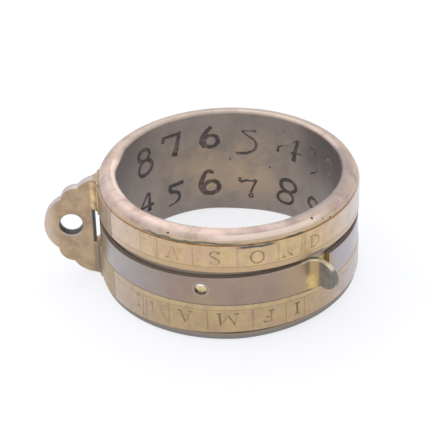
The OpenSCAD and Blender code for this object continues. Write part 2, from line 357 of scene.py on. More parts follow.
def buildHoop(look):
    seatR = stripIn - look["solder"]
    crestR = boreR + look["rimRound"] + look["crestW"]
    domeR, domeZ = look["domeR"], hoopHigh - look["domeR"]
    a0 = atan2(sqrt(domeR ** 2 - (lipR - crestR) ** 2), lipR - crestR)
    arc = [(a0 + (pi / 2 - a0) * i / look["domeSteps"], domeR) for i in range(look["domeSteps"] + 1)]
    scribeZ, scribeHalf, scribeDeep = look["scribe"]
    scribeAt = atan2(scribeZ - domeZ, sqrt(domeR ** 2 - (scribeZ - domeZ) ** 2))
    arc += [(scribeAt - scribeHalf / domeR, domeR), (scribeAt, domeR - scribeDeep),
            (scribeAt + scribeHalf / domeR, domeR)]
    dome = [(crestR + r * cos(a), domeZ + r * sin(a)) for a, r in sorted(arc)]
    for i in range(look["rimSteps"] + 1):
        a = pi / 2 * (1 + i / look["rimSteps"])
        dome.append((boreR + look["rimRound"] * (1 + cos(a)), hoopHigh - look["rimRound"] * (1 - sin(a))))
    shape = bmesh.new()
    verts = outlineFace(shape, [(boreR, hoopLow), (lipR, hoopLow), (lipR, look["baseLip"]), (seatR, look["baseLip"]),
                                (seatR, upperHigh + look["seam"]), (lipR, upperHigh + look["seam"])] + dome)
    for corner, edge, segments in ((0, "boreRound", 4), (1, "baseRound", 6), (2, "lipRound", 3), (5, "seamRound", 2)):
        roundCorners(shape, [verts[corner]], look[edge], segments)
    splitLongEdges(shape, look["longest"])
    spinSection(shape, 0, 2 * pi, look["steps"])
    closeShape(shape)
    taperBase(shape, baseTaper)
    wearBore(shape, outOfRound)
    hoop = makeObject("hourHoop", shape)
    slotMid = radians(look["slotFrom"] + look["slotTo"]) / 2
    halfSlot = radians(look["slotTo"] - look["slotFrom"]) / 2 * boreR
    slot = strokeTube([(x, 0, look["slotHigh"] / 2) for x in (-halfSlot, 0, halfSlot)], smooth=False)
    cutters = [wrapShape(slot, boreR, slotMid, lightZ, look["slotDepth"])]
    mirror = Matrix.Diagonal((-1, 1, 1, 1))  # the bore is read from inside
    for turn, foot, size, strokes in hourMarks:
        for tube in markTubes(strokes, size):
            bmesh.ops.transform(tube, matrix=mirror, verts=list(tube.verts))
            roughen(tube, look["numeralRough"])
            cutters.append(wrapShape(tube, boreR, pi - radians(turn), foot + size / 2, look["numeralDepth"]))
    cutAway(hoop, cutters)
    smoothFaces(hoop)
    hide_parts("hour_hoop")
    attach(hoop, "hoop")
    print("hour hoop:", len(hoop.data.polygons), "faces")
    return hoop


# Month strips: scribed lines and punched initials, the upper row upright and the lower row upside down

monthStrips = {
    "footHalf": 28.84,  # degrees from the lug's middle to a strip's end
    "bevel": 0.12,
    "seamBevel": 0.03,  # on the edge under the top lip
    "steps": 460,
    "longest": 0.6,
    "borderHigh": 0.95,  # border line above the upper strip's lower edge
    "borderLow": 0.8,  # border line below the lower strip's upper edge
    "lineHalf": 0.1,
    "lineDepth": 0.7,  # of its half width
    "overrun": 1,  # a month line runs on past the edge
    "letterDepth": 1.0,  # of a stroke's half width
    # mark, degrees from the front, middle level, height, lift of the punch: plain, along x, along y
    "upperMarks": [("I", -37, 14.8, 1.9, 0.05, 0, 0), ("A", -24.5, 14.8, 2.1, 0.04, 0.02, 0),
                   ("S", -6.4, 14.65, 2.4, 0.02, 0, -0.02), ("O", 11.5, 14.55, 2.15, 0, 0, 0),
                   ("N", 25, 14.45, 1.8, 0.02, 0, 0.04), ("D", 38.5, 14.65, 1.9, 0, 0, 0),
                   ("tick", 60.5, 14.8, 1.3, 0, 0, 0), ("tick", 63, 14.9, 1.3, 0, 0, 0),
                   ("tick", 50, 14.0, 1.6, 0.02, 0, 0)],
    "lowerMarks": [("I heavy", 29.3, 3.95, 2.0, 0, 0, 0), ("F", 16, 3.9, 2.0, 0, 0, 0),
                   ("M", -1.4, 3.95, 2.1, 0.02, 0, 0), ("A", -19.8, 3.95, 2.0, 0.02, 0, 0),
                   ("M", -32.4, 3.95, 2.0, 0.05, 0, 0), ("I", -43.2, 4.1, 2.0, 0.02, 0, 0)],
}
upperBorder = upperLow + monthStrips["borderHigh"]
lowerBorder = lowerHigh - monthStrips["borderLow"]


def buildStrip(name, node, look, low, high, border, lines, marks, spun):
    b = look["bevel"]
    top = look["seamBevel"] if spun > 0 else b
    groove = look["lineHalf"]
    shape = bmesh.new()
    outlineFace(shape, [(stripIn, low), (stripR - b, low), (stripR, low + b), (stripR, border - groove),
                        (stripR - groove * look["lineDepth"], border), (stripR, border + groove), (stripR, high - top),
                        (stripR - top, high), (stripIn, high)])
    splitLongEdges(shape, look["longest"])
    start = radians(180 + look["footHalf"])
    spinSection(shape, start, 2 * pi - 2 * radians(look["footHalf"]), look["steps"])
    closeShape(shape)
    if spun < 0:
        taperBase(shape, baseTaper, strip=True)
    strip = makeObject(name, shape)
    cutters = []
    foot, head = (border, high + look["overrun"]) if spun > 0 else (low - look["overrun"], border)
    for turn, lean in lines:
        tube = strokeTube([(-lean, foot, groove), (lean, head, groove)], smooth=False)
        cutters.append(wrapShape(tube, stripR, radians(turn), 0, look["lineDepth"]))
    for mark, turn, level, size, lift, leanX, leanY in marks:
        for tube in markTubes(glyphs[mark], size):
            cutters.append(wrapShape(tube, stripR, radians(turn), level, look["letterDepth"],
                                     (lift, leanX, leanY), spun))
    cutAway(strip, cutters)
    smoothFaces(strip)
    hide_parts(node)
    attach(strip, "hoop")
    print(name + ":", len(strip.data.polygons), "faces")
    return strip


# The month lines follow the sun's declination, as the solids' lines do
calendar = {
    "gain": 1.6,  # degrees along the strip for one of declination
    "obliquity": radians(23.44),
    "equinoxDay": 80,
    "upperEquinox": -3.5,  # degrees from the front
    "lowerEquinox": -3.8,
    "lean": {11: 0.2},  # lines that were scribed askew, in mm at each end
    "monthStarts": [0, 31, 59, 90, 120, 151, 181, 212, 243, 273, 304, 334, 365],
}


def monthTurn(month, equinox):
    day = calendar["monthStarts"][month] - calendar["equinoxDay"]
    rise = sin(calendar["obliquity"]) * sin(2 * pi * day / calendar["monthStarts"][-1])
    return equinox - calendar["gain"] * degrees(atan2(rise, sqrt(1 - rise * rise)))


# Sliding collar: a sheet strip spun round the seat, bent out at one end into the thumb tab

slidingCollar = {
    "sheet": 0.75,  # as thick as the edge of the tab looks
    "standOff": 0.14,  # its spring holds it off the seat, nearly flush with the strips
    "edgeRound": 0.07,
    "bendR": 1.4,
    "endGap": 2.25,
    "tabTurn": 40,  # degrees from the front
    "drop": 0.15,  # the strip lies on the lower month strip
    "topLeft": -0.5,  # its top edge is low at the left and climbs to the tab
    "topTab": 0.4,
    "topEnd": -0.35,  # at the plain end
    "topLeaf": 0.2,
    "leafLift": 0.75,  # the leaf's lower edge over the collar's
    "climb": (-60, 36),  # degrees from the front
    "climbCurve": 1.3,
    "endFrom": 1.5,  # degrees past the tab where the plain end begins
    "endFade": (90, 170),  # degrees over which its top edge meets the rest
    "leafFrom": 0.3,  # out from the collar, where the leaf begins
    "tipEnd": 0.03,  # share of the leaf's height that is left at its tip
    "edgeSteps": 3,
    "longest": 0.5,
    "ringSteps": 440,
    "bendSteps": 14,
    "leafSteps": 12,
    "pinholeTurn": -12.7,
    "pinholeLift": 0.2,  # over the middle of the groove
    "pinholeD": 1.85,
    "pinholeRim": 0.05,  # worn edge of the pinhole
    "pinholeSides": 48,
    "drillLong": 4,
}


def buildCollar(look):
    innerR = collarIn + look["standOff"]
    collarR = innerR + look["sheet"]
    half = look["sheet"] / 2
    bendY = -(half + look["bendR"])
    bendX = sqrt((collarR + look["bendR"]) ** 2 - bendY ** 2)
    swing = atan2(-bendY, bendX)
    first = (half + look["endGap"]) / (innerR + half)
    shape = bmesh.new()
    verts = outlineFace(shape, [(innerR, collarLow), (collarR, collarLow), (collarR, collarHigh),
                                (innerR, collarHigh)])
    roundCorners(shape, verts, look["edgeRound"], look["edgeSteps"])
    splitLongEdges(shape, look["longest"])
    spinSection(shape, first, 2 * pi - swing - first, look["ringSteps"])
    away = Vector((cos(swing), -sin(swing), 0))  # from the axis to the end that bends out
    bendEnd = [e for e in shape.edges if e.is_boundary
               and all((v.co - v.co.dot(away) * away).xy.length < weld / 2 for v in e.verts)]
    bend = bmesh.ops.spin(shape, geom=bendEnd + list({v for e in bendEnd for v in e.verts}),
                          cent=(bendX * mm, bendY * mm, 0), axis=(0, 0, 1),
                          angle=swing - pi / 2, steps=look["bendSteps"], use_merge=False)
    edges = [e for e in bend["geom_last"] if isinstance(e, bmesh.types.BMEdge)]
    tipR = (collarHigh - collarLow) / 2
    mid = (collarHigh + collarLow) / 2
    leafStart = tabTip - tipR
    stops = [leafStart + tipR * sin(pi / 2 * i / look["leafSteps"]) for i in range(look["leafSteps"] + 1)]
    at, tall = bendX, 1
    for stop in stops:
        grown = bmesh.ops.extrude_edge_only(shape, edges=edges)["geom"]
        ringVerts = [v for v in grown if isinstance(v, bmesh.types.BMVert)]
        edges = [e for e in grown if isinstance(e, bmesh.types.BMEdge)
                 and e.verts[0] in ringVerts and e.verts[1] in ringVerts]
        newTall = max(look["tipEnd"], sqrt(max(0, 1 - ((stop - leafStart) / tipR) ** 2)))
        for v in ringVerts:
            v.co.x += (stop - at) * mm
            v.co.z = mid * mm + (v.co.z - mid * mm) * newTall / tall
        at, tall = stop, newTall
    closeShape(shape)
    tab = radians(look["tabTurn"])
    bmesh.ops.rotate(shape, verts=list(shape.verts), cent=(0, 0, 0),
                     matrix=Matrix.Rotation(frontTurn + tab, 3, "Z"))
    leafFrom = collarR + look["leafFrom"]
    for v in shape.verts:
        turn = degrees(atan2(v.co.x, -v.co.y))
        along = (v.co.x * sin(tab) - v.co.y * cos(tab)) / mm
        share = portion(turn, *look["climb"]) ** look["climbCurve"]
        top = look["topLeft"] + (look["topTab"] - look["topLeft"]) * share
        if turn > look["tabTurn"] + look["endFrom"] and along < collarR + slack:  # the plain end
            top = look["topEnd"] + (look["topLeft"] - look["topEnd"]) * portion(turn, *look["endFade"])
        leaf = portion(along, leafFrom, leafFrom + 1)
        top += (look["topLeaf"] - top) * leaf
        tall = (v.co.z / mm - collarLow) / (collarHigh - collarLow)
        v.co.z += (top * tall + (look["leafLift"] * leaf - look["drop"]) * (1 - tall)) * mm
    collar = makeObject("slidingCollar", shape)
    drill = bmesh.new()
    holeR = look["pinholeD"] / 2 * mm
    rim = look["pinholeRim"] * mm
    bmesh.ops.create_cone(drill, cap_ends=True, segments=look["pinholeSides"], radius1=holeR, radius2=holeR,
                          depth=look["drillLong"] * mm)
    mouth = bmesh.new()
    bmesh.ops.create_cone(mouth, cap_ends=True, segments=look["pinholeSides"], radius1=holeR - 2 * rim,
                          radius2=holeR + 3 * rim, depth=5 * rim)
    toFace = Matrix.Rotation(frontTurn + radians(look["pinholeTurn"]), 4, "Z")
    toFace = toFace @ Matrix.Translation((collarR * mm, 0, (lightZ + look["pinholeLift"]) * mm))
    toFace = toFace @ Matrix.Rotation(pi / 2, 4, "Y")
    cutters = []
    for tool, shift in ((drill, 0), (mouth, rim / 2)):
        bmesh.ops.transform(tool, matrix=toFace @ Matrix.Translation((0, 0, shift)), verts=list(tool.verts))
        cutters.append(makeObject("drill", tool))
    cutAway(collar, cutters)
    smoothFaces(collar)
    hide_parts("sliding_collar")
    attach(collar, "collar")
    print("sliding collar:", len(collar.data.polygons), "faces")
    return collar


# Suspension lug: the solid's own shape with its edges worn round

suspensionLug = {
    "wear": 0.16,
    "wearSteps": 3,
    "windowWear": 0.4,  # front edge of the window
    "windowLevels": (5.9, 11.5),
    "windowOut": 0.75,  # how far it is cut in, from the strips
    "eyeWear": 0.28,  # front edge of the eye
    "mouthSteps": 2,  # of both
    "frontFrom": 0.5,  # mm ahead of the lug's middle, where its front edges lie
    "feetOut": 0.3,  # past this, out from the strips, it is the lug itself and not a foot
    "sharp": 28,  # degrees between faces that count as an edge
    "flat": 0.4,  # degrees between faces that count as one
    "shadeSharp": 40,
    "footLevels": (1.3, 2.6),  # the edge that goes down with the lower strip's
}


def buildLug(look):
    shape = bmesh.new()
    shape.from_mesh(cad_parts["suspension_lug"].data)
    bmesh.ops.remove_doubles(shape, verts=list(shape.verts), dist=weld)
    bmesh.ops.dissolve_limit(shape, angle_limit=radians(look["flat"]), verts=list(shape.verts),
                             edges=list(shape.edges))

    def sharpEdges():
        return [e for e in shape.edges if len(e.link_faces) == 2 and e.calc_face_angle(0) > radians(look["sharp"])]

    def edgesWhere(test, edges):  # the edges that pass a test with both ends
        return [e for e in edges if all(test(v.co) for v in e.verts)]

    def wearEdges(edges, width, steps):
        bmesh.ops.bevel(shape, geom=edges, offset=width * mm, affect="EDGES", segments=steps,
                        profile=0.5, material=-1, clamp_overlap=True)

    eye = Vector((eyeX * mm, 0, eyeZ * mm))
    sill, head = look["windowLevels"]
    front = edgesWhere(lambda co: co.y < -look["frontFrom"] * mm
                       and co.xy.length > (stripR + look["feetOut"]) * mm, sharpEdges())
    aroundEye = edgesWhere(lambda co: (co - eye).xz.length < (eyeR + slack) * mm, front)
    window = edgesWhere(lambda co: co.xy.length < (stripR + look["windowOut"]) * mm
                        and sill * mm < co.z < head * mm, front)
    wearEdges(aroundEye, look["eyeWear"], look["mouthSteps"])
    wearEdges([e for e in window if e.is_valid], look["windowWear"], look["mouthSteps"])
    wearEdges(sharpEdges(), look["wear"], look["wearSteps"])
    footLow, footHigh = look["footLevels"]
    for v in shape.verts:
        if footLow * mm < v.co.z < footHigh * mm and v.co.xy.length < (stripR + slack / 2) * mm:
            v.co.z += baseTaper["stripSlope"] * v.co.x
    lug = makeObject("suspensionLug", shape)
    smoothFaces(lug, look["shadeSharp"])
    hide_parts("suspension_lug")
    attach(lug, "hoop")
    print("suspension lug:", len(lug.data.polygons), "faces")
    return lug


hoop = buildHoop(hourHoop)
upperLines = [(monthTurn(m, calendar["upperEquinox"]), calendar["lean"].get(m, 0)) for m in range(6, 13)]
lowerLines = [(monthTurn(m, calendar["lowerEquinox"]), 0) for m in range(0, 7)]
upper = buildStrip("upperMonthStrip", "upper_month_strip", monthStrips, upperLow, upperHigh, upperBorder,
                   upperLines, monthStrips["upperMarks"], 1)
lower = buildStrip("lowerMonthStrip", "lower_month_strip", monthStrips, lowerLow, lowerHigh, lowerBorder,
                   lowerLines, monthStrips["lowerMarks"], -1)
collar = buildCollar(slidingCollar)
lug = buildLug(suspensionLug)

print("pieces modelled")


# Shader maths: a wire is a socket, and sums on wires add Math nodes

class Wire:
    def __init__(self, tree, socket):
        self.tree = tree
        self.socket = socket

    def make(self, kind, settings=None, values=None, out=0):  # any node: settings first, then its sockets
        node = self.tree.nodes.new(kind)
        for key, value in (settings or {}).items():
            setattr(node, key, value)
        for key, value in (values or {}).items():
            if isinstance(value, Wire):
                self.tree.links.new(value.socket, node.inputs[key])
            else:
                node.inputs[key].default_value = value
        return Wire(self.tree, node.outputs[out])

    def beside(self, out):  # another socket of the same node
        return Wire(self.tree, self.socket.node.outputs[out])

    def sums(self, operation, first, second=0.0):
        return self.make("ShaderNodeMath", {"operation": operation}, {0: first, 1: second})

    def __add__(self, other):
        return self.sums("ADD", self, other)

    __radd__ = __add__

    def __sub__(self, other):
        return self.sums("SUBTRACT", self, other)

    def __rsub__(self, other):
        return self.sums("SUBTRACT", other, self)

    def __mul__(self, other):
        return self.sums("MULTIPLY", self, other)

    __rmul__ = __mul__

    def __truediv__(self, other):
        return self.sums("DIVIDE", self, other)

    def __rtruediv__(self, other):
        return self.sums("DIVIDE", other, self)

    def __abs__(self):
        return self.sums("ABSOLUTE", self)

    def most(self, other):
        return self.sums("MAXIMUM", self, other)

    def reach(self, across):  # length of a step of this one way and across the other
        square = self * self + across * across
        return square.sums("SQRT", square)

    def span(self, ends):  # the first number where this is 0, the second where it is 1
        return self * (ends[1] - ends[0]) + ends[0]

    def ease(self, low, high):  # 0 at low, 1 at high, smooth between
        return self.make("ShaderNodeMapRange", {"interpolation_type": "SMOOTHSTEP"},
                         {"Value": self, "From Min": low, "From Max": high})

    def ramp(self, low, high):  # 0 at low, 1 at high, straight between
        return self.make("ShaderNodeMapRange", None, {"Value": self, "From Min": low, "From Max": high})

    def within(self, low, high, soft):  # 1 between two values, fading over soft
        return self.ease(low - soft, low) * self.ease(high + soft, high)

    def mix(self, under, over):  # two colours, mixed by this mask
        return self.make("ShaderNodeMix", {"data_type": "RGBA"}, {0: self, 6: under, 7: over}, 2)


def tone(red, green, blue):  # a colour as a paint program gives it, made linear
    parts = [c / 255 for c in (red, green, blue)]
    return tuple(c / 12.92 if c <= 0.04045 else ((c + 0.055) / 1.055) ** 2.4 for c in parts) + (1,)


# The crust under the top lip: a wavy line in three lengths
crustLine = {
    "wave": 0.7,
    "waveSize": 2,
    # from, to and fade in degrees from the front, level, where its edge begins and is whole, share
    "lengths": [(-34, -3, 10, 16.96, 0.26, 0.08, 0.85), (6, 17, 4, 16.4, 0.3, 0.1, 1),
                (26, 31, 3, 16.8, 0.18, 0.05, 1)],
}


class DialSpace:  # places on the dial that a finish can ask for: mm, and degrees from the front or the back
    def __init__(self, material):
        tree = material.node_tree
        start = Wire(tree, tree.nodes.new("ShaderNodeTexCoord").outputs["Object"])
        self.place = start.make("ShaderNodeVectorMath", {"operation": "SCALE"}, {0: start, "Scale": 1 / mm})
        self.x = start.make("ShaderNodeSeparateXYZ", None, {0: self.place})
        self.y = self.x.beside(1)
        self.level = self.x.beside(2)
        flat = start.make("ShaderNodeVectorMath", {"operation": "MULTIPLY"}, {0: self.place, 1: (1, 1, 0)})
        self.out = start.make("ShaderNodeVectorMath", {"operation": "LENGTH"}, {0: flat}, "Value")
        self.turn = self.x.sums("ARCTAN2", self.x, self.y * -1) * (180 / pi)
        self.backTurn = self.x.sums("ARCTAN2", self.x, self.y) * (180 / pi)

    def cloud(self, size, detail=4, rough=0.6, stretch=(1, 1, 1), shift=0):  # noise with marks about size mm wide
        spot = self.place.make("ShaderNodeVectorMath", {"operation": "MULTIPLY_ADD"},
                               {0: self.place, 1: tuple(k / size for k in stretch), 2: (shift, shift, shift)})
        return spot.make("ShaderNodeTexNoise", None, {"Vector": spot, "Scale": 1.0, "Detail": detail,
                                                      "Roughness": rough})

    def rings(self, size, along=0.12):  # noise drawn out round the axis, as turning leaves it
        spot = self.x.make("ShaderNodeCombineXYZ", None, {0: self.x * along, 1: self.y * along,
                                                          2: (self.out - self.level) / size})
        return spot.make("ShaderNodeTexNoise", None, {"Vector": spot, "Scale": 1.0, "Detail": 3.0, "Roughness": 0.5})

    def spot(self, turn, level, size, flat=1.6):  # a small pit on the outside, wider than high
        aside = (self.turn - turn) * radians(lipR)  # mm along the lip
        above = (self.level - level) * flat
        return (aside * aside + above * above).ease(size * size * 1.5, size * size * 0.5)

    def crust(self, look):  # the mask of the crust under the top lip
        level = self.level + (self.cloud(look["waveSize"], 3, 0.55, shift=9) - 0.5) * look["wave"]
        return sum(self.turn.within(first, last, fade) * abs(level - middle).ease(edge, whole) * share
                   for first, last, fade, middle, edge, whole, share in look["lengths"])


def startFinish(name):
    material = bpy.data.materials.new(name)
    material.use_nodes = True
    return material, DialSpace(material)


def endFinish(material, colour, roughness, metallic, height, look):
    shader = material.node_tree.nodes["Principled BSDF"]
    bump = height.make("ShaderNodeBump", None, {"Height": height, "Strength": 1.0, "Distance": look["bump"] * mm},
                       "Normal")
    for socket, wire in (("Base Color", colour), ("Roughness", roughness), ("Metallic", metallic), ("Normal", bump)):
        material.node_tree.links.new(wire.socket, shader.inputs[socket])
    for socket, value in zip(("Coat Weight", "Coat Roughness", "Coat IOR"), look["coat"]):
        shader.inputs[socket].default_value = value
    return material


# In the finishes, a Turn is from, to and fade in degrees from the front, and a Level the same in mm over the base.
# A pair named Front, Back, Up or Out is where a mask is 0 and 1: degrees from the front or the back, level, radius.

stripBrass = {
    "gold": tone(211, 182, 128),
    "tan": tone(199, 167, 124),
    "rose": tone(205, 169, 137),
    "roseShare": 0.7,
    "olive": tone(185, 162, 102),
    "oliveShare": 0.5,
    # painted reflection: the ends are tinted pink at the left and lilac at the right, as a slanting view reflects the
    # white surroundings
    "leftEndSheen": tone(214, 194, 184),
    "leftTurn": (-85, -60, 38),
    "rightEndSheen": tone(204, 202, 216),
    "rightTurn": (72, 85, 36),
    "endSheenShare": 0.5,
    # painted shade: the upper strip's band beside the collar is darker than its face; the lower strip's band is lighter
    "band": tone(182, 152, 111),  # beside the collar
    "bandShare": 0.7,
    "dirt": tone(112, 94, 68),
    "dirtShare": (0.3, 0.65),  # in the cuts
    "streakShare": 0.25,
    # painted light: the lower strip's top face, lighter as it faces up
    "litLedge": tone(240, 222, 180),  # the bright top face that the collar slides on
    "ledgeLevel": (6, 7, 0.1),
    "ledgeShare": 0.5,
    # a dark patch on the upper strip's lower edge, over the tab
    "tabPatch": tone(86, 82, 70),
    "tabPatchTurn": (33, 42, 4),
    "tabPatchLevel": (12, 12.4, 0.35),
    "verdigris": tone(72, 66, 50),  # dark, because the wax over it reflects as well
    "crust": tone(44, 42, 36),
    "roughness": (0.36, 0.5),
    "dull": 0.2,  # added to the roughness where it is dirty
    "metallic": 0.9,
    "bump": 0.03,
    "coat": (0.8, 0.3, 1.75),  # weight, roughness and index of the wax
}
lowerBrass = dict(stripBrass, gold=tone(190, 162, 113), tan=tone(178, 148, 110), rose=tone(182, 150, 122),
                  olive=tone(168, 146, 90), leftEndSheen=tone(186, 172, 166), rightEndSheen=tone(184, 182, 200),
                  band=tone(198, 172, 124), dirtShare=(0.65, 1))


def finishStrip(name, look, low, high, border, groove):
    material, dial = startFinish(name)
    patch = dial.cloud(1.6, 4, 0.6)
    tint = dial.cloud(2.6, 3, 0.55, shift=4)
    green = dial.cloud(2.0, 4, 0.6, shift=11)
    grain = dial.cloud(0.3, 3, 0.6)
    colour = patch.ease(0.36, 0.64).mix(look["gold"], look["tan"])
    colour = (tint.ease(0.5, 0.68) * look["roseShare"]).mix(colour, look["rose"])
    colour = (green.ease(0.52, 0.72) * look["oliveShare"]).mix(colour, look["olive"])
    # painted reflection at the strip's two ends
    colour = (dial.turn.within(*look["leftTurn"]) * look["endSheenShare"]).mix(colour, look["leftEndSheen"])
    colour = (dial.turn.within(*look["rightTurn"]) * look["endSheenShare"]).mix(colour, look["rightEndSheen"])
    streak = dial.cloud(0.8, 4, 0.65, stretch=(1, 1, 0.5), shift=5)
    colour = (streak.ease(0.5, 0.75) * look["streakShare"]).mix(colour, look["dirt"])
    # the band beside the collar, painted shade on the upper strip
    band = dial.level.within(min(border, groove), max(border, groove), 0.08)
    colour = (band * patch.ease(0.75, 0.35) * look["bandShare"]).mix(colour, look["band"])
    inside = dial.level.within(low + 0.2, high - 0.2, 0.05)
    dirt = dial.out.ease(stripR - 0.02, stripR - 0.14) * inside
    colour = (dirt * green.ease(0.3, 0.6).span(look["dirtShare"])).mix(colour, look["dirt"])
    # painted light on the lower strip's upward top face
    litLedge = dial.out.ease(stripR - 0.08, stripR - 0.14) * (1 - inside) * dial.level.within(*look["ledgeLevel"])
    colour = (litLedge * look["ledgeShare"]).mix(colour, look["litLedge"])
    # darker patch on the strip's lower edge over the tab
    tabPatch = dial.turn.within(*look["tabPatchTurn"]) * dial.level.within(*look["tabPatchLevel"]) * green.ease(0.3, 0.55)
    colour = tabPatch.mix(colour, look["tabPatch"])
    seam = dial.crust(crustLine)
    colour = seam.mix(colour, grain.ease(0.4, 0.6).mix(look["verdigris"], look["crust"]))
    roughness = patch.span(look["roughness"]) + dirt * look["dull"] + seam * look["dull"]
    metallic = look["metallic"] - dirt * 0.5 - seam * 0.7 - tabPatch * 0.6 - litLedge * 0.8
    height = patch * 0.5 + grain * 0.2
    return endFinish(material, colour, roughness, metallic, height, look)


hoopBrass = {
    "rim": tone(206, 184, 172),
    "rimGold": tone(208, 186, 160),
    "goldShare": 0.6,
    "rimBrown": tone(178, 156, 146),
    # painted shade: the rim darker towards its inner edge at the right
    "rimShade": tone(150, 138, 134),
    "rimShadeTurn": (30, 102, 10),
    "rimShadeOut": (19.2, 17.6),
    "rimShadeShare": 0.8,
    "rimFar": tone(186, 175, 160),
    "farBack": (75, 40),
    "farShare": 0.6,
    # light streaks of turning; the same tone is the painted highlight on the rim's edges
    "streak": tone(235, 215, 199),
    "turnedShare": 0.5,  # of the marks of turning, dark and bright
    # painted highlights along the rim's outer shoulder and inner edge
    "shoulderTurn": (-2, 38, 12),  # bright edges of the rim, outer and inner
    "shoulderOut": (18.95, 19.2),
    "shoulderUp": (17.25, 17.5),
    "innerTurns": [(-10, 24, 10), (-95, -66, 8)],
    "innerUp": (18, 18.1),
    "highlightShare": 0.9,
    "lip": tone(203, 179, 142),
    "lipFront": (75, 40),
    "lipUp": (17.45, 17.25),
    "lipShare": 0.8,
    "verdigris": tone(114, 111, 98),
    "crust": tone(84, 84, 80),
    "nicks": [(48.5, 16.95, 0.22), (39, 17.95, 0.2), (-27, 17.62, 0.2), (44, 17.4, 0.12)],  # turn, level, size
    "bore": tone(172, 158, 148),
    "boreWarm": tone(208, 182, 149),
    "warmBack": (48, 8),
    "warmLevel": (6, 11, 5),
    "warmShare": 0.9,
    "boreDull": tone(158, 147, 138),
    "dullShare": 0.25,
    "boreGrey": tone(152, 147, 146),
    "greyBack": (40, 75),
    "greyShare": 0.7,
    "patinaBack": [(38, 50), (150, 75)],  # its two ends, at the right
    "patinaUp": (9, 14.5),
    "patinaShare": 0.4,  # of ink
    "shadeBack": (40, 62),  # under the rim at both sides
    "shadeUp": (12.5, 17),
    "shadeShare": 0.25,  # of ink
    "boreUp": (18.05, 17.9),
    "ink": tone(66, 62, 70),
    "inkShare": (0.34, 0.3, 0.2),  # in the numerals: all over, in patches, in grains
    "inkUp": [(17.8, 17.4), (0.7, 1)],  # clear of the rim and of the base's edge
    "scratch": tone(182, 174, 158),
    "scratchBack": (53, 58),  # where the numerals are only scratched
    "seat": tone(184, 168, 152),
    "seatLevel": (1.5, 16.7, 0.1),
    "seatClean": tone(244, 218, 150),  # rubbed by the tab
    "cleanTurn": (41, 49, 1),
    "cleanUp": (10.6, 10.2),
    "slot": tone(244, 226, 170),
    "slotHalf": (1.25, 1.18),
    "base": tone(152, 138, 122),
    "baseUp": (2.6, 2.4),
    # painted shade: bluish grey on the base's rounded underside
    "baseUnderShade": tone(138, 134, 130),
    "lowUp": (0.95, 0.8),
    "baseDark": tone(92, 82, 74),
    "darkUp": (1.2, 1.35),
    "roughness": (0.4, 0.54),
    "dull": 0.2,  # added to the roughness where it is dirty
    "metallic": 0.9,
    "bump": 0.03,
    "coat": (0.0, 0.3, 1.5),  # weight, roughness and index of the wax
}


